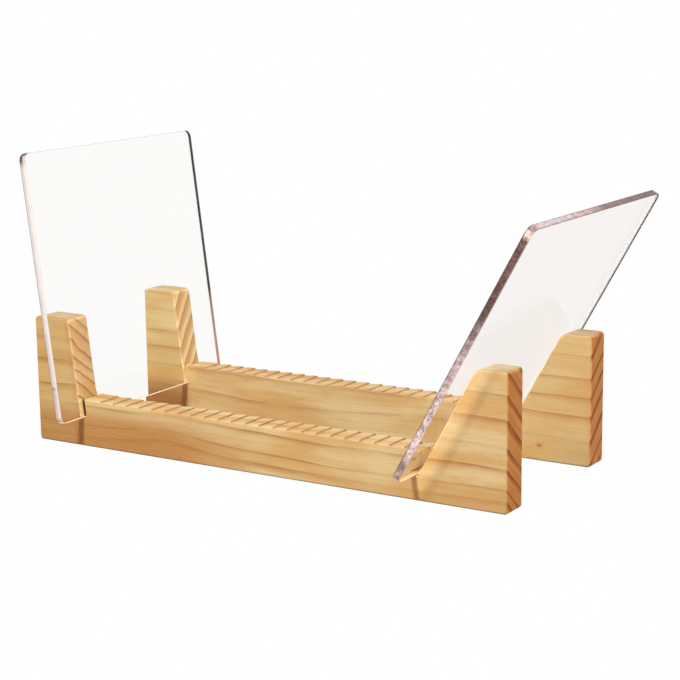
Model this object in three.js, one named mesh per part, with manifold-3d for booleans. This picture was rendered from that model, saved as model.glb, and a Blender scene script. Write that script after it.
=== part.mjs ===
// Desktop record holder: two notched wooden rails joined by two clear panels that drop into
// slots at the ends of the rails. Millimetres, +Z up, +X along the rails, +Y to the rear.
import * as THREE from 'three';
import { mergeVertices } from 'three/addons/utils/BufferGeometryUtils.js';
import Module from 'manifold-3d';

// ---------------------------------------------------------------- driving dimensions
const RAIL_LENGTH = 376.5;
const RAIL_THICK = 21; // board thickness, along Y
const POST_HEIGHT = 90.5; // board width, standing up
const FRAME_DEPTH = 144; // outer face of the front rail to outer face of the rear rail
const MID_HEIGHT = 34.3; // low middle section, at the tips of the teeth
const EDGE_ROUND = 1.6; // rounded long edges
const EDGE_SEGMENTS = 3;

const PANEL_HEIGHT = 190; // along the slot
const PANEL_WIDTH = 191; // along Y
const PANEL_THICK = 5;
const PANEL_CORNER = 5.5; // corner radius
const FRONT_OVERHANG = 24; // panel edge in front of the front rail

// Slots. Each leans outwards, and its outer wall runs on upwards as the slope of the post.
const SLOT_WIDTH = 7.5;
const LEFT_LEAN = 7.2; // degrees from vertical
const LEFT_INNER_X = -146.2; // bottom of the left panel's inner face
const LEFT_INNER_Z = 21.0;
const LEFT_GAP_OUT = 0.5; // panel to the slot's outer wall
const RIGHT_LEAN = 29.3;
const RIGHT_OUTER_X = 123.7; // bottom of the right panel's outer face
const RIGHT_OUTER_Z = 17.1;
const RIGHT_GAP_OUT = 1.1;
const FLOOR_GAP = 0.3; // panel to slot floor

// Sawteeth: a gentle ramp that rises to the right, then a short steep face towards +X.
const TOOTH_COUNT = 23;
const TOOTH_PITCH = 11.21;
const TOOTH_FIRST_X = -131.6; // tip of the first tooth
const TOOTH_DEPTH = 1.2;
const TOOTH_STEEP = 0.8; // run of the steep face

// Corner radii of the board outline, seen from the front.
const R_FOOT = 2.4;
const R_TOP_OUT = 2.6;
const R_TOP_LEFT_IN = 3.2;
const R_TOP_RIGHT_IN = 9.0;

const WOOD = { color: 0xd9b27c, roughness: 0.62, metalness: 0.0 };
const ACRYLIC = { color: 0xeef0f0, roughness: 0.06, metalness: 0.0, transparent: true, opacity: 0.35 };

// ---------------------------------------------------------------- solid helpers
const wasm = await Module();
wasm.setup();

function toSolid(geometry) {
  const g = geometry.clone();
  for (const name of Object.keys(g.attributes)) if (name !== 'position') g.deleteAttribute(name);
  const m = mergeVertices(g, 1e-4);
  return new wasm.Manifold(new wasm.Mesh({
    numProp: 3,
    vertProperties: new Float32Array(m.attributes.position.array),
    triVerts: new Uint32Array(m.index.array),
  }));
}

function toGeometry(solid) {
  const mesh = solid.getMesh();
  const g = new THREE.BufferGeometry();
  g.setAttribute('position', new THREE.BufferAttribute(new Float32Array(mesh.vertProperties), 3));
  g.setIndex(new THREE.BufferAttribute(new Uint32Array(mesh.triVerts), 1));
  g.computeVertexNormals();
  return g;
}

// Polygon with its corners rounded. Each corner is [x, z, radius, segments].
function roundedOutline(corners) {
  const pts = [];
  const n = corners.length;
  corners.forEach(([x, z, r = 0, seg = 4], i) => {
    const p = new THREE.Vector2(x, z);
    if (!r) { pts.push(p); return; }
    const a = new THREE.Vector2(corners[(i + n - 1) % n][0], corners[(i + n - 1) % n][1]).sub(p).normalize();
    const b = new THREE.Vector2(corners[(i + 1) % n][0], corners[(i + 1) % n][1]).sub(p).normalize();
    const half = Math.acos(THREE.MathUtils.clamp(a.dot(b), -1, 1)) / 2;
    const centre = a.clone().add(b).normalize().multiplyScalar(r / Math.sin(half)).add(p);
    const start = a.clone().multiplyScalar(r / Math.tan(half)).add(p).sub(centre);
    const end = b.clone().multiplyScalar(r / Math.tan(half)).add(p).sub(centre);
    let turn = end.angle() - start.angle();
    if (turn > Math.PI) turn -= 2 * Math.PI;
    if (turn < -Math.PI) turn += 2 * Math.PI;
    for (let k = 0; k <= seg; k++) {
      const t = start.angle() + (turn * k) / seg;
      pts.push(new THREE.Vector2(centre.x + r * Math.cos(t), centre.y + r * Math.sin(t)));
    }
  });
  return new THREE.Shape(pts);
}

// Extrude an outline drawn in X and Z along Y, from y0 to y1, with rounded rims if asked.
function extrudeXZ(shape, y0, y1, round = 0) {
  const g = new THREE.ExtrudeGeometry(shape, round
    ? { depth: y1 - y0 - 2 * round, bevelEnabled: true, bevelThickness: round, bevelSize: round,
      bevelOffset: -round, bevelSegments: EDGE_SEGMENTS, curveSegments: 1 }
    : { depth: y1 - y0, bevelEnabled: false, curveSegments: 1 });
  g.rotateX(Math.PI / 2); // the drawing's y becomes +Z, the depth runs to -Y
  g.translate(0, y1 - round, 0);
  return g;
}

// ---------------------------------------------------------------- slot and panel frames
const deg = THREE.MathUtils.degToRad;
const left = { up: [-Math.sin(deg(LEFT_LEAN)), Math.cos(deg(LEFT_LEAN))] };
left.out = [-left.up[1], left.up[0]]; // from the inner face to the outer face
left.panelOuter = [LEFT_INNER_X + left.out[0] * PANEL_THICK, LEFT_INNER_Z + left.out[1] * PANEL_THICK];
const right = { up: [Math.sin(deg(RIGHT_LEAN)), Math.cos(deg(RIGHT_LEAN))] };
right.out = [right.up[1], -right.up[0]];
right.panelOuter = [RIGHT_OUTER_X, RIGHT_OUTER_Z];

// point at a distance d outwards from the panel's outer face and v up the slot from its bottom
const at = (s, d, v) => [
  s.panelOuter[0] + s.out[0] * d + s.up[0] * v,
  s.panelOuter[1] + s.out[1] * d + s.up[1] * v,
];
const wallX = (s, gap, z) => {
  const [x, z0] = at(s, gap, 0);
  return x + ((z - z0) * s.up[0]) / s.up[1];
};
const slotOutline = (s, gap) => new THREE.Shape([
  at(s, gap, -FLOOR_GAP), at(s, gap - SLOT_WIDTH, -FLOOR_GAP),
  at(s, gap - SLOT_WIDTH, 40), at(s, gap, 40),
].map(([x, z]) => new THREE.Vector2(x, z)));

// ---------------------------------------------------------------- one rail
const HALF = RAIL_LENGTH / 2;
function railGeometry(y0, y1) {
  const outline = roundedOutline([
    [-HALF, 0, R_FOOT, 2],
    [HALF, 0, R_FOOT, 2],
    [HALF, POST_HEIGHT, R_TOP_OUT, 3],
    [wallX(right, RIGHT_GAP_OUT, POST_HEIGHT), POST_HEIGHT, R_TOP_RIGHT_IN, 6],
    [wallX(right, RIGHT_GAP_OUT, MID_HEIGHT), MID_HEIGHT],
    [wallX(left, LEFT_GAP_OUT, MID_HEIGHT), MID_HEIGHT],
    [wallX(left, LEFT_GAP_OUT, POST_HEIGHT), POST_HEIGHT, R_TOP_LEFT_IN, 4],
    [-HALF, POST_HEIGHT, R_TOP_OUT, 3],
  ]);
  let rail = toSolid(extrudeXZ(outline, y0, y1, EDGE_ROUND));

  const cutters = [slotOutline(left, LEFT_GAP_OUT), slotOutline(right, RIGHT_GAP_OUT)];
  for (const shape of cutters) rail = rail.subtract(toSolid(extrudeXZ(shape, y0 - 2, y1 + 2)));

  for (let k = 0; k < TOOTH_COUNT; k++) {
    const tip = TOOTH_FIRST_X + k * TOOTH_PITCH;
    const tooth = new THREE.Shape([
      new THREE.Vector2(tip, MID_HEIGHT + 1e-3),
      new THREE.Vector2(tip + TOOTH_STEEP, MID_HEIGHT - TOOTH_DEPTH),
      new THREE.Vector2(tip + TOOTH_PITCH - 0.4, MID_HEIGHT + 1e-3),
      new THREE.Vector2(tip + TOOTH_PITCH - 0.4, MID_HEIGHT + 2),
      new THREE.Vector2(tip, MID_HEIGHT + 2),
    ]);
    rail = rail.subtract(toSolid(extrudeXZ(tooth, y0 - 2, y1 + 2)));
  }
  return toGeometry(rail);
}

// ---------------------------------------------------------------- one panel
// Drawn flat: x along the frame's Y, y up the slot, thickness to the inner side.
function panelMesh(name, s) {
  const outline = roundedOutline([
    [0, 0, PANEL_CORNER, 6], [PANEL_WIDTH, 0, PANEL_CORNER, 6],
    [PANEL_WIDTH, PANEL_HEIGHT, PANEL_CORNER, 6], [0, PANEL_HEIGHT, PANEL_CORNER, 6],
  ]);
  const g = new THREE.ExtrudeGeometry(outline, { depth: PANEL_THICK, bevelEnabled: false, curveSegments: 1 });
  const mesh = new THREE.Mesh(g, new THREE.MeshStandardMaterial(ACRYLIC));
  mesh.name = name;
  // local x -> +Y, local y -> up the slot, local z -> x cross y
  const ex = new THREE.Vector3(0, 1, 0);
  const ey = new THREE.Vector3(s.up[0], 0, s.up[1]);
  const ez = ex.clone().cross(ey);
  const outward = new THREE.Vector3(s.out[0], 0, s.out[1]);
  const flip = ez.dot(outward) > 0; // local z points outwards: start at the inner face
  const [x0, z0] = at(s, flip ? -PANEL_THICK : 0, 0);
  mesh.applyMatrix4(new THREE.Matrix4().makeBasis(ex, ey, ez));
  mesh.position.set(x0, PANEL_FRONT_Y, z0);
  return mesh;
}

// ---------------------------------------------------------------- assembly
const FRONT_Y = -FRAME_DEPTH / 2;
const PANEL_FRONT_Y = FRONT_Y - FRONT_OVERHANG;

const holder = new THREE.Group();
holder.name = 'record_holder';
const body = new THREE.Group();
holder.add(body);

const frontRail = new THREE.Mesh(railGeometry(FRONT_Y, FRONT_Y + RAIL_THICK), new THREE.MeshStandardMaterial(WOOD));
frontRail.name = 'front_rail';
const rearRail = new THREE.Mesh(railGeometry(-FRONT_Y - RAIL_THICK, -FRONT_Y), new THREE.MeshStandardMaterial(WOOD));
rearRail.name = 'rear_rail';
body.add(frontRail, rearRail, panelMesh('left_panel', left), panelMesh('right_panel', right));

// Origin: middle of the footprint, at the surface that the rails stand on.
holder.updateMatrixWorld(true);
const box = new THREE.Box3().setFromObject(holder, true);
body.position.set(-(box.min.x + box.max.x) / 2, -(box.min.y + box.max.y) / 2, 0);
holder.updateMatrixWorld(true);

export default holder;
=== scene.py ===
"""Looks of the desktop record holder: two notched pine rails and two clear acrylic panels.
Metres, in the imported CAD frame: +X along the rails, +Y to the rear, +Z up."""

import math

import bmesh
import bpy
from mathutils import Matrix, Vector


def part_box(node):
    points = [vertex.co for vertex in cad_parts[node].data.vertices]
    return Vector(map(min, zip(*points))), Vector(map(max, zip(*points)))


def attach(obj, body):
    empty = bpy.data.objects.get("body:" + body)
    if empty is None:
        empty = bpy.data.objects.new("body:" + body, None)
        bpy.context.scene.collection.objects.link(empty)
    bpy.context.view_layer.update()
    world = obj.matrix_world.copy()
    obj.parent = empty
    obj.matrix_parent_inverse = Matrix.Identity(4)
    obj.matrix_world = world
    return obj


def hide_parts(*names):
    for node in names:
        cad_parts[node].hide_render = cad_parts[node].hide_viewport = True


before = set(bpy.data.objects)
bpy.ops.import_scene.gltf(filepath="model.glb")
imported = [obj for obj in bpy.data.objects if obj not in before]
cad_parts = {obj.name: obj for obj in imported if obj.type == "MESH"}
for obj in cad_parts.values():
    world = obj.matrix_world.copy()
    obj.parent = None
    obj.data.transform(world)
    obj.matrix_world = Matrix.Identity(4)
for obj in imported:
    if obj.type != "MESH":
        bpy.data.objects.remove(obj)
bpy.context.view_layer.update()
scene = bpy.context.scene
MM = 0.001

# ------------------------------------------------------------------ driving dimensions, mm, as in the CAD
RAIL_LENGTH = 376.5
POST_HEIGHT = 90.5
MID_HEIGHT = 34.3
RIM = 1.6            # rounding of the long edges
SLOT_RIM = 0.3       # softened mouth of the slots
R_FOOT, R_TOP_OUT, R_TOP_LEFT_IN, R_TOP_RIGHT_IN = 2.4, 2.6, 3.2, 9.0
PANEL_HEIGHT, PANEL_WIDTH, PANEL_THICK, PANEL_CORNER = 190.0, 191.0, 5.0, 5.5
SLOT_WIDTH, FLOOR_GAP = 7.5, 0.3
TOOTH_COUNT, TOOTH_PITCH, TOOTH_FIRST_X = 23, 11.21, -131.6
TOOTH_DEPTH, TOOTH_STEEP = 1.2, 0.8
HALF = RAIL_LENGTH / 2
BOARD = 21.0                               # board thickness, mm

lo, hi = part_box("front_rail")
SHIFT_X = (lo.x + hi.x) / 2 / MM       # the drawing's x = 0 in the row frame, mm
FRONT_Y = (lo.y / MM, hi.y / MM)
lo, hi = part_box("rear_rail")
REAR_Y = (lo.y / MM, hi.y / MM)


class Side:
    """One end's slot and panel: up the slot, outwards, and the bottom of the panel's outer face."""

    def __init__(self, lean, out_sign, gap, inner=None, outer=None):
        a = math.radians(lean)
        self.up = Vector((out_sign * math.sin(a), math.cos(a)))
        self.out = Vector((out_sign * math.cos(a), -math.sin(a)))
        self.gap = gap
        self.base = Vector(outer) if outer else Vector(inner) + self.out * PANEL_THICK

    def at(self, d, v):
        return self.base + self.out * d + self.up * v

    def line_x(self, d, z):
        """x of the line at distance d outwards from the panel's outer face, at height z."""
        p = self.at(d, 0)
        return p.x + (z - p.y) * self.up.x / self.up.y


LEFT = Side(7.2, -1, 0.5, inner=(-146.2, 21.0))
RIGHT = Side(29.3, 1, 1.1, outer=(123.7, 17.1))


# ------------------------------------------------------------------ rail mesh
def arc(cx, cz, r, a0, a1, n):
    return [(cx + r * math.cos(math.radians(a0 + (a1 - a0) * k / n)),
             cz + r * math.sin(math.radians(a0 + (a1 - a0) * k / n))) for k in range(n + 1)]


def inner_corner(side, radius):
    """Centre of the rounding between a post's top and its sloped side."""
    z = POST_HEIGHT - radius
    return side.line_x(side.gap + radius, z), z


def fade(z):
    """How much of the rim's rounding a sloped side has at height z: none inside the slot."""
    t = min(max((z - 33.5) / 4.0, 0.0), 1.0)
    return t * t * (3 - 2 * t)


def slope_points(side, inset, soft, heights):
    pts = []
    for z in heights:
        w = fade(z)
        pts.append((side.line_x(side.gap + inset * w + soft * (1 - w), z), z))
    return pts


def outline(inset, soft):
    """The rail seen from the front, counter-clockwise, with its rim inset and its slots widened by soft.
    Every layer has the same number of points, so that layers can be joined."""
    p = []
    p += arc(-HALF + R_FOOT, R_FOOT, R_FOOT - inset, 180, 270, 5)
    p += arc(HALF - R_FOOT, R_FOOT, R_FOOT - inset, 270, 360, 5)
    p += arc(HALF - R_TOP_OUT, POST_HEIGHT - R_TOP_OUT, R_TOP_OUT - inset, 0, 90, 6)
    cx, cz = inner_corner(RIGHT, R_TOP_RIGHT_IN)
    p += arc(cx, cz, R_TOP_RIGHT_IN - inset, 90, 180 - 29.3, 12)
    heights = [40, 38, 36.8, 35.6, 34.6, 33.8, 32]
    p += slope_points(RIGHT, inset, soft, heights)
    top = MID_HEIGHT - inset                       # height of the middle section in this layer
    for side, order in ((RIGHT, 1), (LEFT, -1)):
        q = side.at(side.gap + soft, -FLOOR_GAP - soft)
        i = side.at(side.gap - SLOT_WIDTH - soft, -FLOOR_GAP - soft)
        mouth = (side.line_x(side.gap - SLOT_WIDTH - soft, top), top)
        walls = [tuple(q), tuple(i), mouth]
        if order == 1:
            p += walls
            p += teeth(top)
        else:
            p += walls[::-1]
    p += slope_points(LEFT, inset, soft, heights[::-1])
    cx, cz = inner_corner(LEFT, R_TOP_LEFT_IN)
    p += arc(cx, cz, R_TOP_LEFT_IN - inset, 7.2, 90, 6)
    p += arc(-HALF + R_TOP_OUT, POST_HEIGHT - R_TOP_OUT, R_TOP_OUT - inset, 90, 180, 6)
    return p


def teeth(top):
    """The sawteeth from right to left, cut off at the layer's height."""
    valley = MID_HEIGHT - TOOTH_DEPTH
    ramp_run = TOOTH_PITCH - 0.4 - TOOTH_STEEP
    pts = []
    for k in reversed(range(TOOTH_COUNT)):
        tip = TOOTH_FIRST_X + k * TOOTH_PITCH

        def on_ramp(z):
            return tip + TOOTH_STEEP + ramp_run * max(z - valley, 0) / TOOTH_DEPTH

        def on_steep(z):
            return tip + TOOTH_STEEP * (1 - max(z - valley, 0) / TOOTH_DEPTH)

        h = min(MID_HEIGHT, top)
        pts.append((on_ramp(h), h))
        pts.append((tip + TOOTH_STEEP + 0.25, min(valley + 0.03, top)) if top > valley + 0.03
                   else (on_ramp(top), top))
        pts.append((tip + TOOTH_STEEP, min(valley, top)))
        for x, z in ((tip + 0.30 * TOOTH_STEEP / TOOTH_DEPTH, MID_HEIGHT - 0.30), (tip + 0.02, MID_HEIGHT - 0.12)):
            pts.append((x, z) if z <= top else (on_steep(top), top))
        pts.append((tip - 0.3, top))
    return pts


def loft(name, layers):
    """Joins equal outlines into one closed body. layers: [[(x, y, z) in mm, ...], ...]."""
    bm = bmesh.new()
    rows = [[bm.verts.new(Vector(c) * MM) for c in layer] for layer in layers]
    n = len(rows[0])
    for a, b in zip(rows, rows[1:]):
        for i in range(n):
            j = (i + 1) % n
            bm.faces.new((a[i], b[i], b[j], a[j]))
    front = bm.faces.new(rows[0])
    back = bm.faces.new(rows[-1][::-1])
    caps = [front, back]
    bmesh.ops.remove_doubles(bm, verts=bm.verts, dist=2e-6)
    bmesh.ops.dissolve_degenerate(bm, dist=1e-7, edges=bm.edges)
    bmesh.ops.recalc_face_normals(bm, faces=bm.faces)
    big = [f for f in bm.faces if len(f.verts) > 4]
    bmesh.ops.triangulate(bm, faces=big, quad_method="BEAUTY", ngon_method="BEAUTY")
    for f in bm.faces:
        f.smooth = True
    mesh = bpy.data.meshes.new(name)
    bm.to_mesh(mesh)
    bm.free()
    obj = bpy.data.objects.new(name, mesh)
    scene.collection.objects.link(obj)
    mesh.set_sharp_from_angle(angle=math.radians(33))
    normals = obj.modifiers.new("even_normals", "WEIGHTED_NORMAL")
    normals.keep_sharp = True
    normals.mode = "FACE_AREA"
    return obj


def rail(name, y0, y1):
    steps = 6
    layers = []
    for side in (0, 1):
        ks = range(steps + 1) if side == 0 else range(steps, -1, -1)
        for k in ks:
            a = math.radians(90 * k / steps)
            inset, depth = RIM * (1 - math.sin(a)), RIM * (1 - math.cos(a))
            soft = SLOT_RIM * (1 - math.sin(a))
            y = y0 + depth if side == 0 else y1 - depth
            layers.append([(x + SHIFT_X, y, z) for x, z in outline(inset, soft)])
    return loft(name, layers)


# ------------------------------------------------------------------ panel mesh
def panel(name, side):
    """A rounded rectangle: u runs to the rear, v up the slot, d outwards. Its arrises are softened."""
    soft = 0.28
    profile = [(-PANEL_THICK, soft), (-PANEL_THICK + 0.05, soft * 0.42), (-PANEL_THICK + soft, 0.0),
               (-PANEL_THICK * 0.66, 0.0), (-PANEL_THICK * 0.33, 0.0),
               (-soft, 0.0), (-0.05, soft * 0.42), (0.0, soft)]
    layers = []
    for d, inset in profile:
        r = PANEL_CORNER
        w, h = PANEL_WIDTH, PANEL_HEIGHT
        pts = (arc(r, r, r - inset, 180, 270, 10) + arc(w - r, r, r - inset, 270, 360, 10)
               + arc(w - r, h - r, r - inset, 0, 90, 10) + arc(r, h - r, r - inset, 90, 180, 10))
        row = []
        for u, v in pts:
            q = side.at(d, v)
            row.append((q.x + SHIFT_X, -PANEL_WIDTH / 2 + u, q.y))
        layers.append(row)
    obj = loft(name, layers)
    up = Vector((side.up.x, 0, side.up.y))
    out = Vector((side.out.x, 0, side.out.y))
    for f in obj.data.polygons:
        n = f.normal
        if abs(n.dot(out)) > 0.97:
            f.material_index = 0
        elif n.dot(up) < -0.72:
            f.material_index = 3                    # bottom edge
        elif n.y > 0.7:
            f.material_index = 4                    # rear edge
        elif n.dot(up) > 0.7:
            f.material_index = 2                    # top edge
        else:
            f.material_index = 1                    # front edge
    return obj


# ------------------------------------------------------------------ node helpers
def tone(r, g, b, gain=1.0):
    """Linear colour from an 8-bit one, scaled."""
    def one(v):
        v /= 255.0
        return (v / 12.92 if v <= 0.04045 else ((v + 0.055) / 1.055) ** 2.4) * gain
    return (one(r), one(g), one(b))


class Tree:
    def __init__(self, name):
        self.mat = bpy.data.materials.new(name)
        self.mat.use_nodes = True
        self.nodes = self.mat.node_tree.nodes
        self.links = self.mat.node_tree.links
        self.nodes.clear()
        self.out = self.nodes.new("ShaderNodeOutputMaterial")

    def put(self, socket, value):
        if isinstance(value, bpy.types.NodeSocket):
            self.links.new(value, socket)
        else:
            socket.default_value = value

    def node(self, kind, **props):
        n = self.nodes.new(kind)
        for k, v in props.items():
            setattr(n, k, v)
        return n

    def math(self, op, a, b=0.0, c=0.0, clamp=False):
        n = self.node("ShaderNodeMath", operation=op, use_clamp=clamp)
        for s, v in zip(n.inputs, (a, b, c)):
            self.put(s, v)
        return n.outputs[0]

    def mapped(self, v, a, b, c=0.0, d=1.0, smooth=True):
        n = self.node("ShaderNodeMapRange", interpolation_type="SMOOTHSTEP" if smooth else "LINEAR")
        for s, x in zip(n.inputs, (v, a, b, c, d)):
            self.put(s, x)
        return n.outputs[0]

    def mix(self, f, a, b, blend="MIX"):
        n = self.node("ShaderNodeMix", data_type="RGBA", blend_type=blend)
        n.clamp_factor = True
        self.put(n.inputs[0], f)
        for s, v in ((n.inputs[6], a), (n.inputs[7], b)):
            self.put(s, (*v, 1.0) if isinstance(v, tuple) and len(v) == 3 else v)
        return n.outputs[2]

    def noise(self, vec, scale, detail=2.0, rough=0.5, distortion=0.0):
        n = self.node("ShaderNodeTexNoise", noise_dimensions="3D")
        self.put(n.inputs["Vector"], vec)
        n.inputs["Scale"].default_value = scale
        n.inputs["Detail"].default_value = detail
        n.inputs["Roughness"].default_value = rough
        n.inputs["Distortion"].default_value = distortion
        return n.outputs[0]

    def stretch(self, vec, sx, sy, sz, off=(0, 0, 0)):
        n = self.node("ShaderNodeMapping")
        self.put(n.inputs["Vector"], vec)
        n.inputs["Scale"].default_value = (sx, sy, sz)
        n.inputs["Location"].default_value = off
        return n.outputs[0]

    def combine(self, x, y, z):
        n = self.node("ShaderNodeCombineXYZ")
        for s, v in zip(n.inputs, (x, y, z)):
            self.put(s, v)
        return n.outputs[0]

    def dot(self, vec, direction, off=0.0):
        n = self.node("ShaderNodeVectorMath", operation="DOT_PRODUCT")
        self.put(n.inputs[0], vec)
        n.inputs[1].default_value = tuple(direction)
        return self.math("SUBTRACT", n.outputs["Value"], off)

    def scale(self, colour, factor):
        n = self.node("ShaderNodeVectorMath", operation="SCALE")
        self.put(n.inputs[0], colour)
        self.put(n.inputs[3], factor)
        return n.outputs[0]

    def bell(self, x, centre, width):
        """exp(-((x - centre) / width)^2)"""
        t = self.math("DIVIDE", self.math("SUBTRACT", x, centre), width)
        return self.math("POWER", math.e, self.math("MULTIPLY", self.math("MULTIPLY", t, t), -1.0))

    def ramp(self, f, stops, colour=False):
        n = self.node("ShaderNodeValToRGB")
        n.color_ramp.interpolation = "LINEAR"
        els = n.color_ramp.elements
        while len(els) > 1:
            els.remove(els[-1])
        wide = [(p, v if colour else (v, v, v)) for p, v in stops]
        els[0].position = wide[0][0]
        els[0].color = (*wide[0][1], 1.0)
        for p, v in wide[1:]:
            e = els.new(p)
            e.color = (*v, 1.0)
        self.put(n.inputs[0], f)
        if colour:
            return n.outputs[0]
        sep = self.node("ShaderNodeSeparateColor")
        self.links.new(n.outputs[0], sep.inputs[0])
        return sep.outputs[0]


# ------------------------------------------------------------------ pine
def pine(name, y_face, tilt, rings, seed, waves, c, heart_shade, dusk, pitch, banded, lit_to, tone_and_panel_light=(), knot=None):
    """Pine board. A growth ring is a plane along the board that crosses its end at an angle: tilt is how far
    the plane drops, in mm, for each mm to the rear, at the left and at the right end. rings: heights at which
    the latewood lines meet the face at y_face. waves: (x, z, height, width along x, spread in z) bumps that the
    lines take. c: tones. heart_shade: (x where the darker, more orange tone is full, x where it ends, its height,
    strength): partly the wood's heartwood tone, partly painted shade, as less light falls on the boards' left ends.
    dusk: where it darkens towards its ends, each (x of the start, x of the full tone, strength).
    pitch: spacing of the fine rings on the sawn slopes, banded: how broad bands show there.
    lit_to: how far from the face, in mm, the painted light reaches into the left slot. tone_and_panel_light: lighter
    or darker stretches of the board, each (x of the start, x of the full tone, height above which it lies, gain); one
    is painted light, the haze of the left panel over the rear-left post, the others shift the board's tone."""
    t = Tree(name)
    coord = t.node("ShaderNodeTexCoord")
    mm = t.stretch(coord.outputs["Object"], 1000, 1000, 1000)
    xyz = t.node("ShaderNodeSeparateXYZ")
    t.links.new(mm, xyz.inputs[0])
    x, y, z = xyz.outputs
    nrm = t.node("ShaderNodeSeparateXYZ")
    t.links.new(coord.outputs["Normal"], nrm.inputs[0])
    cut = t.mapped(t.math("ABSOLUTE", nrm.outputs[0]), 0.45, 0.85)          # sawn across the grain
    far = t.math("ABSOLUTE", t.math("SUBTRACT", x, SHIFT_X))
    tip = t.mapped(far, HALF - 3.2, HALF - 1.2)                             # the board's two ends

    shifted = t.stretch(mm, 1, 1, 1, (seed * 37.0, seed * 11.0, seed * 23.0))
    # low, long warps of the ring planes
    big = t.math("SUBTRACT", t.noise(t.stretch(shifted, 0.0075, 0.022, 0.022), 1.0, 1.5), 0.5)
    mid = t.math("SUBTRACT", t.noise(t.stretch(shifted, 0.022, 0.09, 0.09), 1.0, 2.0), 0.5)
    fine = t.math("SUBTRACT", t.noise(t.stretch(shifted, 0.06, 0.6, 0.6), 1.0, 2.0), 0.5)
    slant = t.mapped(x, -150.0, 120.0, tilt[0], tilt[1])
    s = t.math("MULTIPLY_ADD", t.math("SUBTRACT", y, y_face), slant, z)
    s = t.math("MULTIPLY_ADD", big, 6.0, s)
    s = t.math("MULTIPLY_ADD", mid, 2.4, s)
    s = t.math("MULTIPLY_ADD", fine, 0.6, s)
    for wx, wz, height, width, spread in waves:
        bump = t.math("MULTIPLY", t.bell(x, wx, width), t.bell(z, wz, spread))
        s = t.math("MULTIPLY_ADD", bump, -height, s)
    if knot:
        kx, kz, pull, size = knot
        dx = t.math("DIVIDE", t.math("SUBTRACT", x, kx), size * 1.7)
        dz = t.math("DIVIDE", t.math("SUBTRACT", z, kz), size)
        dy = t.math("DIVIDE", t.math("SUBTRACT", y, y_face), size * 4)
        d2 = t.math("MULTIPLY_ADD", dx, dx, t.math("MULTIPLY", dz, dz))
        d2 = t.math("MULTIPLY_ADD", dy, dy, d2)
        near = t.math("POWER", math.e, t.math("MULTIPLY", d2, -0.6))
        s = t.math("MULTIPLY_ADD", t.math("MULTIPLY", near, dz), -pull, s)

    # latewood: darkens slowly towards each line, then ends at once
    low, span = -45.0, 165.0
    stops = [(0.0, 0.0)]
    for a, b in zip([rings[0] - 14] + rings, rings):
        stops += [((b - 0.55 * (b - a) - low) / span, 0.0), ((b - 0.45 - low) / span, 1.0),
                  ((b + 0.30 - low) / span, 0.0)]
    season = t.ramp(t.math("DIVIDE", t.math("SUBTRACT", s, low), span, clamp=True), stops)
    late = t.math("POWER", season, 3.2)
    # finer rings that follow the same planes, faint
    thin = t.noise(t.combine(t.math("MULTIPLY", x, 0.006), t.math("MULTIPLY", s, 0.62), seed * 3.0), 1.0, 3.0, 0.62)
    thin = t.mapped(thin, 0.50, 0.70)
    # the lines come and go along the board
    come = t.mapped(t.noise(t.stretch(shifted, 0.012, 0.05, 0.05), 1.0, 2.0), 0.32, 0.66, 0.22, 1.0)
    late_face = t.math("MULTIPLY", late, come)

    # fibres along the board, and short resin lines
    fibre = t.noise(t.stretch(shifted, 0.020, 1.3, 1.3), 1.0, 5.0, 0.62)
    hair = t.noise(t.stretch(shifted, 0.055, 3.6, 3.6), 1.0, 3.0, 0.6)
    dash = t.noise(t.stretch(shifted, 0.085, 2.3, 2.3, (5, 9, 2)), 1.0, 1.0, 0.5)
    dash = t.mapped(dash, 0.69, 0.76)
    cloud = t.noise(t.stretch(shifted, 0.011, 0.050, 0.050, (3, 1, 7)), 1.0, 2.5, 0.55)
    # painted shade, partly heartwood tone: the lower left of each board is darker and more orange
    heart_shade_mask = t.math("MULTIPLY", t.mapped(x, heart_shade[0], heart_shade[1], 1.0, 0.0),
                   t.mapped(z, heart_shade[2] - 9.0, heart_shade[2] + 9.0, 1.0, 0.0))
    heart_shade_mask = t.math("MULTIPLY", heart_shade_mask, heart_shade[3])

    base = t.mix(t.mapped(cloud, 0.36, 0.64), c["pale"], c["warm"])
    base = t.mix(heart_shade_mask, base, c["heart_shade"])
    for x0, x1, strength in dusk:
        base = t.mix(t.mapped(x, x0, x1, 0.0, strength), base, c["tan"])
    base = t.mix(t.math("MULTIPLY", thin, 0.34), base, c["honey"])
    face = t.mix(t.math("MULTIPLY", late_face, 1.0), base, c["late"])
    face = t.mix(t.math("MULTIPLY", t.mapped(fibre, 0.50, 0.74), 0.30), face, c["honey"])
    face = t.mix(t.math("MULTIPLY", t.mapped(fibre, 0.46, 0.26), 0.26), face, c["pale"])
    face = t.mix(t.math("MULTIPLY", t.mapped(hair, 0.54, 0.74), 0.40), face, c["late"])
    face = t.mix(t.math("MULTIPLY", t.mapped(hair, 0.46, 0.26), 0.20), face, c["pale"])
    face = t.mix(t.math("MULTIPLY", dash, 0.50), face, c["resin"])
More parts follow.
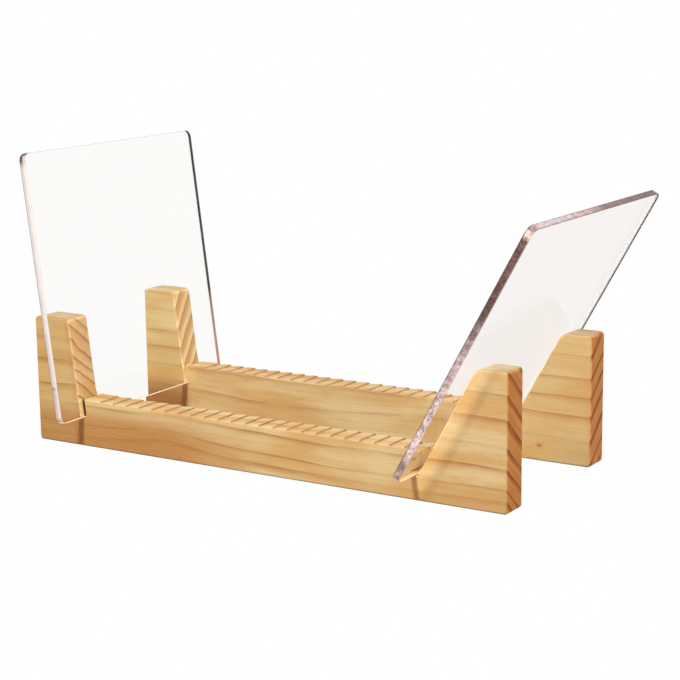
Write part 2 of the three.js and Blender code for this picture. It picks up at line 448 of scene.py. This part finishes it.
    # sawn across the grain the same rings stand out; the sawn slopes are toned lighter than the ends, painted light
    pores = t.noise(t.stretch(shifted, 0.4, 2.4, 2.4), 1.0, 4.0, 0.65)
    drift = t.noise(t.stretch(shifted, 0.02, 0.055, 0.055, (8, 4, 6)), 1.0, 1.0)
    saw = t.math("FRACT", t.math("DIVIDE", t.math("MULTIPLY_ADD", drift, 7.0, t.math("ADD", s, 400.0)), pitch))
    line = t.ramp(saw, [(0.0, 1.0), (0.04, 0.0), (0.66, 0.0), (0.84, 0.35), (0.92, 1.0), (1.0, 1.0)])
    broad = t.ramp(saw, [(0.0, 1.0), (0.05, 0.0), (0.38, 0.0), (0.52, 1.0), (1.0, 1.0)])
    slope = t.mix(t.mapped(cloud, 0.34, 0.66), c["slope"], c["slope_warm"])
    slope = t.mix(t.math("MULTIPLY", broad, banded), slope, c["slope_band"])
    slope = t.mix(t.math("MULTIPLY", line, 0.80), slope, c["slope_late"])
    slope = t.mix(t.math("MULTIPLY", t.mapped(pores, 0.48, 0.76), 0.22), slope, c["slope_late"])
    # at the two ends the pores have drunk the oil
    season_end = t.math("MULTIPLY_ADD", t.math("SUBTRACT", pores, 0.5), 0.30, season)
    ends = t.ramp(season_end, [(0.0, c["end"]), (0.22, c["end_light"]), (0.45, c["end_warm"]), (0.66, c["end_deep"]),
                               (0.86, c["end_late"]), (1.0, c["end_late"])], colour=True)
    ends = t.mix(t.math("MULTIPLY", t.mapped(cloud, 0.36, 0.64), 0.35), ends, c["end_warm"])
    ends = t.mix(t.math("MULTIPLY", line, 0.16), ends, c["end_late"])
    ends = t.mix(t.math("MULTIPLY", t.mapped(pores, 0.50, 0.76), 0.20), ends, c["end_late"])
    # painted shade: the two ends darken toward their rear arris
    ends = t.mix(t.math("MULTIPLY", t.mapped(y, y_face + BOARD - 1.5, y_face + BOARD - 0.5), 0.80), ends, c["dark"])
    # slot walls: painted light, paler where light reaches a little way in and glowing near the top, and painted shade
    # deeper in; the steep sides of the teeth get painted shade
    depth = t.math("SUBTRACT", y, y_face)
    reach = t.mapped(x, -1.0, 1.0, lit_to, 16.5)
    walls = t.math("MULTIPLY", cut, t.math("SUBTRACT", 1.0, tip))
    inside = t.math("MULTIPLY", walls, t.mapped(z, MID_HEIGHT - 4.0, MID_HEIGHT - 1.0, 1.0, 0.0))
    bright = t.math("MULTIPLY", walls, t.mapped(z, MID_HEIGHT - 0.9, MID_HEIGHT - 0.4, 1.0, 0.0))
    # painted shade: the steep sides of the teeth, away from the slots, are toned dark brown
    step = t.math("MULTIPLY", t.mapped(z, MID_HEIGHT - 1.9, MID_HEIGHT - 1.5),
                  t.mapped(t.math("ABSOLUTE", t.math("ADD", x, 21.5)), 126.0, 127.0, 1.0, 0.0))
    unlit = t.mapped(depth, reach, t.math("ADD", reach, 1.4))
    slope = t.mix(t.math("MULTIPLY", inside, 0.8), slope, c["pale"])
    slope = t.mix(t.math("MULTIPLY", unlit, inside), slope, c["dark"])
    slope = t.mix(t.math("MULTIPLY", step, 0.80), slope, c["step"])
    # painted light: the stretch over the rear-left post is lighter for the haze of the left panel in front of it; the
    # others shift the board's tone
    for x0, x1, floor, gain in tone_and_panel_light:
        over = t.math("MULTIPLY", t.mapped(x, x0, x1), t.mapped(z, floor, floor + 8.0))
        face = t.mix(over, face, gain, blend="MULTIPLY")
    # painted sheen: the tops of the posts are toned paler and cooler, more so to the right
    crown_sheen = t.math("MULTIPLY", t.mapped(nrm.outputs[2], 0.80, 0.96), t.mapped(z, POST_HEIGHT - 3.0, POST_HEIGHT - 1.0))
    face = t.mix(t.math("MULTIPLY", crown_sheen, t.mapped(x, -20.0, 20.0, 0.6, 1.0)), face, (0.84, 0.96, 1.22),
                 blend="MULTIPLY")
    colour = t.mix(cut, face, t.mix(tip, slope, ends))
    colour = t.mix(t.mapped(z, 1.3, 0.2, 0.0, 0.75), colour, c["dark"])      # painted shade along the arris at the foot
    if knot:
        ring = t.mapped(d2, 0.05, 1.1, 1.0, 0.0)
        core = t.mapped(d2, 0.01, 0.12, 1.0, 0.0)
        colour = t.mix(t.math("MULTIPLY", ring, 0.60), colour, c["late"])
        colour = t.mix(t.math("MULTIPLY", core, 0.85), colour, c["resin"])

    rough = t.mapped(fibre, 0.3, 0.7, 0.46, 0.60)
    rough = t.math("MULTIPLY_ADD", late, -0.07, rough)
    rough = t.math("MULTIPLY_ADD", cut, 0.12, rough)
    height = t.math("MULTIPLY_ADD", fibre, 0.6, t.math("MULTIPLY", hair, 0.4))
    height = t.math("MULTIPLY_ADD", late, 0.5, height)
    bump = t.node("ShaderNodeBump")
    bump.inputs["Strength"].default_value = 0.5
    bump.inputs["Distance"].default_value = 0.00008
    t.put(bump.inputs["Height"], height)

    bsdf = t.node("ShaderNodeBsdfPrincipled")
    t.put(bsdf.inputs["Base Color"], colour)
    t.put(bsdf.inputs["Roughness"], rough)
    bsdf.inputs["Specular IOR Level"].default_value = 0.15
    # painted light: the slot walls near the mouth give off light in the wood's own colour, standing for the light the
    # acrylic carries into the slot
    lit = t.math("MULTIPLY", t.math("MULTIPLY", bright, t.math("SUBTRACT", 1.0, unlit)),
                 t.mapped(nrm.outputs[0], 0.3, 0.6))
    t.put(bsdf.inputs["Emission Color"], colour)
    t.put(bsdf.inputs["Emission Strength"], t.math("MULTIPLY", lit, 0.50))
    t.put(bsdf.inputs["Normal"], bump.outputs[0])
    t.links.new(bsdf.outputs[0], t.out.inputs["Surface"])
    return t.mat


# ------------------------------------------------------------------ acrylic
def clear_face(name, tint, ior):
    """Polished face of clear cast acrylic. Lamps shine through it, less so at a grazing angle."""
    t = Tree(name)
    bsdf = t.node("ShaderNodeBsdfPrincipled")
    bsdf.inputs["Base Color"].default_value = (*tint, 1.0)
    bsdf.inputs["Roughness"].default_value = 0.0
    bsdf.inputs["IOR"].default_value = ior
    bsdf.inputs["Specular Tint"].default_value = (0.0, 0.0, 0.0, 1.0)
    bsdf.inputs["Transmission Weight"].default_value = 1.0
    weight = t.node("ShaderNodeLayerWeight")
    weight.inputs["Blend"].default_value = 0.5
    glance = t.math("POWER", weight.outputs["Facing"], 6.0)
    through = t.node("ShaderNodeBsdfTransparent")
    t.put(through.inputs["Color"], t.mix(glance, (0.97, 0.97, 0.97), (0.62, 0.60, 0.58)))
    path = t.node("ShaderNodeLightPath")
    mix = t.node("ShaderNodeMixShader")
    t.links.new(path.outputs["Is Shadow Ray"], mix.inputs[0])
    t.links.new(bsdf.outputs[0], mix.inputs[1])
    t.links.new(through.outputs[0], mix.inputs[2])
    t.links.new(mix.outputs[0], t.out.inputs["Surface"])
    return t.mat


def sawn_edge(name, side, along, stops, mottle, seed, lines=(), rough=0.28, painted_glow=0.0, shade=1.0,
              leak=(1.0, 0.985, 0.96), gloss=0.3):
    """Sawn and buffed edge of the acrylic. Its colours are painted light: the light and dark that the whole sheet
    carries to its edges, and their reflections, painted as colour and broken up by saw marks.
    stops: (mm along the edge, colour) of that painted light and shade, up the slot or to the rear. lines: (mm outwards
    from the outer face, width, colour, strength): painted highlights and shade lines that run along the edge, where an
    arris catches or loses the light.
    shade: how much of a lamp's light the edge holds back, leak: the colour of what it lets through."""
    t = Tree(name)
    coord = t.node("ShaderNodeTexCoord")
    plain = t.stretch(coord.outputs["Object"], 1000, 1000, 1000)
    mm = t.stretch(plain, 1, 1, 1, (seed * 17, seed * 5, seed * 29))
    base = Vector((side.base.x + SHIFT_X, 0.0, side.base.y))
    up = Vector((side.up.x, 0.0, side.up.y))
    out = Vector((side.out.x, 0.0, side.out.y))
    if along == "up":
        where = t.dot(plain, up, base.dot(up))
    else:
        where = t.dot(plain, (0, 1, 0), -PANEL_WIDTH / 2)
    blotch = t.noise(t.stretch(mm, 0.16, 0.16, 0.16), 1.0, 2.0, 0.5, 0.3)
    speck = t.noise(t.stretch(mm, 0.62, 0.62, 0.62), 1.0, 3.0, 0.65)
    grit = t.noise(t.stretch(mm, 1.9, 1.9, 1.9), 1.0, 2.0, 0.6)
    where = t.math("MULTIPLY_ADD", t.math("SUBTRACT", speck, 0.5), 6.0 * min(mottle, 1.0), where)
    where = t.math("DIVIDE", where, 200.0, clamp=True)
    colour = t.ramp(where, [(p / 200.0, v) for p, v in stops], colour=True)
    uneven = t.mapped(blotch, 0.30, 0.70, 1.0 - 0.35 * mottle, 1.0 + 0.35 * mottle)
    uneven = t.math("MULTIPLY", uneven, t.mapped(speck, 0.34, 0.66, 1.0 - 0.62 * mottle, 1.0 + 0.62 * mottle))
    uneven = t.math("MULTIPLY", uneven, t.mapped(grit, 0.30, 0.70, 1.0 - 0.30 * mottle, 1.0 + 0.30 * mottle))
    colour = t.scale(colour, uneven)
    if lines:
        d = t.dot(plain, out, base.dot(out))
        d = t.math("MULTIPLY_ADD", t.math("SUBTRACT", grit, 0.5), 0.5, d)
        for at, width, line, strength in lines:
            colour = t.mix(t.math("MULTIPLY", t.bell(d, at, width), strength), colour, line)
    bump = t.node("ShaderNodeBump")
    bump.inputs["Strength"].default_value = 0.6
    bump.inputs["Distance"].default_value = 0.00012
    t.put(bump.inputs["Height"], t.math("MULTIPLY_ADD", speck, 0.7, t.math("MULTIPLY", grit, 0.3)))
    bsdf = t.node("ShaderNodeBsdfPrincipled")
    t.put(bsdf.inputs["Base Color"], colour)
    t.put(bsdf.inputs["Roughness"], t.mapped(speck, 0.3, 0.7, rough, rough + 0.2))
    bsdf.inputs["IOR"].default_value = 1.49
    bsdf.inputs["Specular IOR Level"].default_value = gloss
    # painted light: the edge gives off light in its own colour, for the light the sheet pipes to it
    if painted_glow:
        t.put(bsdf.inputs["Emission Color"], colour)
        bsdf.inputs["Emission Strength"].default_value = painted_glow
    t.put(bsdf.inputs["Normal"], bump.outputs[0])
    through = t.node("ShaderNodeBsdfTransparent")
    through.inputs["Color"].default_value = (*leak, 1.0)
    path = t.node("ShaderNodeLightPath")
    mix = t.node("ShaderNodeMixShader")
    t.put(mix.inputs[0], t.math("MULTIPLY", path.outputs["Is Shadow Ray"], 1.0 - shade))
    t.links.new(bsdf.outputs[0], mix.inputs[1])
    t.links.new(through.outputs[0], mix.inputs[2])
    t.links.new(mix.outputs[0], t.out.inputs["Surface"])
    return t.mat


# ------------------------------------------------------------------ pieces
K = 0.75                                    # from a tone as seen on a lit front face to the wood's own colour
PINE = {
    "pale": tone(226, 197, 145, K), "warm": tone(211, 168, 106, K), "honey": tone(200, 150, 86, K),
    "heart_shade": tone(184, 126, 66, K), "late": tone(168, 108, 54, K), "resin": tone(128, 72, 34, K),
    # slope tones: painted light, lighter than the end tones of the same cut grain
    "slope": tone(242, 204, 146, 0.94), "slope_warm": tone(234, 184, 120, 0.94),
    "slope_band": tone(218, 156, 90, 0.94), "slope_late": tone(176, 104, 48, 0.94),
    "end": tone(222, 148, 78, 0.95), "end_warm": tone(210, 128, 60, 0.95), "end_light": tone(236, 168, 96, 0.95),
    # step: painted shade for the steep sides of the teeth
    "end_late": tone(150, 76, 30, 0.95), "end_deep": tone(188, 104, 44, 0.95), "step": tone(166, 118, 70, 0.85), "dark": tone(92, 52, 28, 0.9),
}
PINE["tan"] = tone(172, 132, 78, K)
PINE_REAR = dict(PINE, heart_shade=tone(166, 108, 56, K), slope=tone(246, 220, 160, 1.04),
                 slope_warm=tone(242, 210, 146, 1.04), slope_band=tone(222, 168, 100, 1.04),
                 slope_late=tone(198, 136, 74, 1.04))

RINGS_FRONT = [-6.0, 9.5, 17.3, 31.0, 44.0, 61.0, 77.0, 92.0, 108.0]
RINGS_REAR = [-24.0, -9.0, 2.1, 18.2, 34.2, 47.3, 60.5, 76.9, 92.0]

mat_front = pine("pine_front_rail", FRONT_Y[0], (0.80, 0.90), RINGS_FRONT, 1.0,
                 waves=[(-91.0, 13.0, 4.6, 30.0, 15.0), (60.0, 20.0, -2.5, 60.0, 22.0)],
                 # painted shade, partly heartwood tone: darker and more orange toward the lower left
                 c=PINE, heart_shade=(-95.0, 5.0, 26.0, 0.85), dusk=[(80.0, 120.0, 0.08), (-150.0, -174.0, 0.32)],
                 pitch=10.2, banded=0.25, lit_to=3.0, tone_and_panel_light=[(-140.0, -150.0, 28.0, (0.99, 0.955, 0.83))])
mat_rear = pine("pine_rear_rail", REAR_Y[0], (-1.30, -0.95), RINGS_REAR, 2.0,
                waves=[(-60.0, 16.0, -3.0, 55.0, 14.0), (60.0, 24.0, 3.0, 50.0, 18.0)],
                # painted shade: darker and more orange at the lower left end, under the left panel's bottom edge
                c=PINE_REAR, heart_shade=(-168.0, -156.0, 16.0, 0.95), dusk=[(92.0, 122.0, 0.52)], pitch=15.5, banded=0.85, lit_to=9.0,
                # painted light: the first stretch lightens the rear-left post where the left panel's haze lies over it
                tone_and_panel_light=[(-150.0, -156.0, 18.0, (1.10, 1.15, 1.03)), (20.0, 60.0, -20.0, (1.05, 1.07, 1.05)),
                      (112.0, 130.0, -20.0, (0.87, 0.91, 0.97))],
                knot=(136.3, 11.0, 4.2, 2.1))

front_rail = rail("front_rail_board", *FRONT_Y)
front_rail.data.materials.append(mat_front)
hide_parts("front_rail")
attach(front_rail, "front_rail")

rear_rail = rail("rear_rail_board", *REAR_Y)
rear_rail.data.materials.append(mat_rear)
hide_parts("rear_rail")
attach(rear_rail, "rear_rail")

E = 0.80
# painted light: the bright peach line along the left sheet's bottom edge
PEACH = [(0, tone(250, 212, 176, 1.0)), (95, tone(252, 220, 188, 1.0)), (191, tone(250, 212, 176, 1.0))]
left_panel = panel("left_panel_sheet", LEFT)
# the edges' colour stops, lines and emission below are painted light and shade
for m in (
    clear_face("acrylic_left_face", (0.970, 0.962, 0.945), 1.49),
    sawn_edge("acrylic_left_front_edge", LEFT, "up",
              [(0, tone(212, 188, 180, E)), (24.5, tone(198, 176, 176, E)), (25.5, tone(138, 112, 110, E)),
               (27, tone(208, 192, 192, E)), (100, tone(210, 202, 206, E)), (180, tone(204, 196, 197, E)),
               (185, tone(80, 60, 60, E))],
              0.10, 1.0, lines=((0.0, 0.6, tone(104, 92, 92, E), 0.9), (-4.2, 1.4, tone(248, 240, 224, E), 0.6)),
              shade=0.12),
    sawn_edge("acrylic_left_top_edge", LEFT, "rear",
              [(0, tone(82, 64, 65, E)), (5, tone(92, 74, 74, E)), (10, tone(236, 233, 232, E)),
               (183, tone(238, 236, 232, E)), (189, tone(120, 108, 102, E))],
              0.06, 2.0, lines=((0.0, 0.35, tone(190, 186, 182, E), 0.7),), shade=0.12),
    sawn_edge("acrylic_left_bottom_edge", LEFT, "rear", PEACH, 0.12, 3.0, painted_glow=0.35, shade=0.0,
              leak=(0.16, 0.04, 0.0)),
    sawn_edge("acrylic_left_rear_edge", LEFT, "up",
              [(0, tone(150, 110, 84)), (30, tone(160, 126, 104)), (58, tone(130, 104, 90)), (66, tone(26, 20, 20)),
               (190, tone(22, 18, 18))], 0.1, 4.0, shade=0.12),
):
    left_panel.data.materials.append(m)
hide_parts("left_panel")
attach(left_panel, "left_panel")

right_panel = panel("right_panel_sheet", RIGHT)
# the edges' colour stops, lines and emission below are painted light and shade
for m in (
    # painted shade: the right sheet's face is tinted greyer than the left one, though both are the same acrylic
    clear_face("acrylic_right_face", (0.925, 0.890, 0.872), 1.06),
    sawn_edge("acrylic_right_front_edge", RIGHT, "up",
              [(0, tone(186, 156, 150, E)), (13, tone(140, 114, 112, E)), (20, tone(212, 184, 182, E)),
               (92, tone(184, 162, 161, E)), (130, tone(94, 66, 62, E)), (181, tone(102, 74, 70, E)),
               (185.5, tone(232, 208, 200, E)), (189, tone(120, 88, 82, E))],
              0.70, 5.0, lines=((-4.85, 0.5, tone(70, 50, 50, E), 0.85), (0.0, 0.5, tone(226, 204, 196, E), 0.45)),
              shade=0.38),
    sawn_edge("acrylic_right_top_edge", RIGHT, "rear",
              [(0, tone(110, 82, 78, E)), (7, tone(204, 174, 170, E)), (38, tone(206, 188, 194, E)),
               (68, tone(206, 178, 172, E)), (105, tone(132, 98, 94, E)), (184, tone(106, 76, 72, E)),
               (188.5, tone(226, 214, 210, E))],
              0.60, 6.0, lines=((-4.9, 0.6, tone(66, 46, 46, E), 0.9), (0.0, 0.5, tone(96, 70, 68, E), 0.8)),
              shade=0.34),
    sawn_edge("acrylic_right_bottom_edge", RIGHT, "rear",
              [(0, tone(206, 160, 106)), (95, tone(212, 168, 114)), (191, tone(206, 160, 106))],
              0.12, 7.0, lines=((-0.2, 1.3, tone(252, 222, 188), 0.95),), painted_glow=0.16, shade=0.0,
              leak=(0.30, 0.09, 0.01)),
    sawn_edge("acrylic_right_rear_edge", RIGHT, "up",
              [(0, tone(220, 214, 212)), (184, tone(224, 218, 216)), (189, tone(226, 220, 218))], 0.05, 8.0,
              lines=((-0.5, 2.2, tone(16, 12, 12), 1.0),), painted_glow=0.15, shade=0.3, gloss=0.0),
):
    right_panel.data.materials.append(m)
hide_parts("right_panel")
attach(right_panel, "right_panel")

# ------------------------------------------------------------------ floor
bm = bmesh.new()
bmesh.ops.create_grid(bm, x_segments=8, y_segments=8, size=9.0)
floor_mesh = bpy.data.meshes.new("floor")
bm.to_mesh(floor_mesh)
bm.free()
floor = bpy.data.objects.new("floor", floor_mesh)
scene.collection.objects.link(floor)
# White on white, as in a light tent: the eye sees the studio's own white there, the wood gets a soft bounce.
t = Tree("floor_white")
matt = t.node("ShaderNodeBsdfDiffuse")
matt.inputs["Color"].default_value = (0.36, 0.355, 0.35, 1.0)
clear = t.node("ShaderNodeBsdfTransparent")
path = t.node("ShaderNodeLightPath")
mix = t.node("ShaderNodeMixShader")
t.put(mix.inputs[0], t.mapped(path.outputs["Diffuse Depth"], 0.0, 1.0, smooth=False))
t.links.new(clear.outputs[0], mix.inputs[1])
t.links.new(matt.outputs[0], mix.inputs[2])
t.links.new(mix.outputs[0], t.out.inputs["Surface"])
floor.data.materials.append(t.mat)

# ------------------------------------------------------------------ light
# A white studio: full white to the eye, in glass and in gloss, and less than that as soft fill on the wood.
world = bpy.data.worlds.new("studio_white")
world.use_nodes = True
wn, wl = world.node_tree.nodes, world.node_tree.links
back = wn["Background"]
back.inputs[0].default_value = (1.0, 1.0, 1.0, 1.0)
path = wn.new("ShaderNodeLightPath")
fill = wn.new("ShaderNodeMapRange")
wl.new(path.outputs["Diffuse Depth"], fill.inputs[0])
fill.inputs[3].default_value = 1.00
fill.inputs[4].default_value = 0.46
wl.new(fill.outputs[0], back.inputs[1])
scene.world = world


def area(name, at, to, size, power, colour=(1, 1, 1)):
    data = bpy.data.lights.new(name, "AREA")
    data.shape = "DISK"
    data.size = size
    data.energy = power
    data.color = colour
    o = bpy.data.objects.new(name, data)
    scene.collection.objects.link(o)
    o.location = at
    o.visible_transmission = False
    o.rotation_euler = (Vector(to) - Vector(at)).to_track_quat("-Z", "Y").to_euler()
    return o


area("key", (-0.070, -1.20, 1.15), (0.0, 0.0, 0.05), 0.22, 30.0, (1.0, 0.985, 0.96))
area("top", (0.13, 0.12, 1.45), (0.0, 0.0, 0.05), 0.7, 4.2)
area("rear", (-0.5, 1.5, 0.9), (0.0, 0.0, 0.05), 0.7, 4.0)
area("side", (1.35, -0.35, 0.50), (0.0, 0.0, 0.05), 0.6, 3.6, (1.0, 0.97, 0.93))

# ------------------------------------------------------------------ camera
YAW, PITCH, ROLL = math.radians(-32.002), math.radians(11.844), math.radians(-0.683)
fwd = Vector((math.sin(YAW) * math.cos(PITCH), math.cos(YAW) * math.cos(PITCH), -math.sin(PITCH)))
right = Vector((math.cos(YAW), -math.sin(YAW), 0.0))
up = right.cross(fwd)
cam_x = right * math.cos(ROLL) + up * math.sin(ROLL)
cam_y = up * math.cos(ROLL) - right * math.sin(ROLL)
cam = bpy.data.cameras.new("camera")
cam.sensor_fit = "HORIZONTAL"
cam.sensor_width = 36.0
cam.lens = 96.822
cam.clip_start, cam.clip_end = 0.05, 60.0
camera = bpy.data.objects.new("camera", cam)
scene.collection.objects.link(camera)
m = Matrix.Identity(4)
for i in range(3):
    m[i][0], m[i][1], m[i][2] = cam_x[i], cam_y[i], -fwd[i]
m[0][3], m[1][3], m[2][3] = 0.66079, -1.04236, 0.33886
camera.matrix_world = m
scene.camera = camera

scene.view_settings.view_transform = "Standard"
scene.view_settings.look = "None"
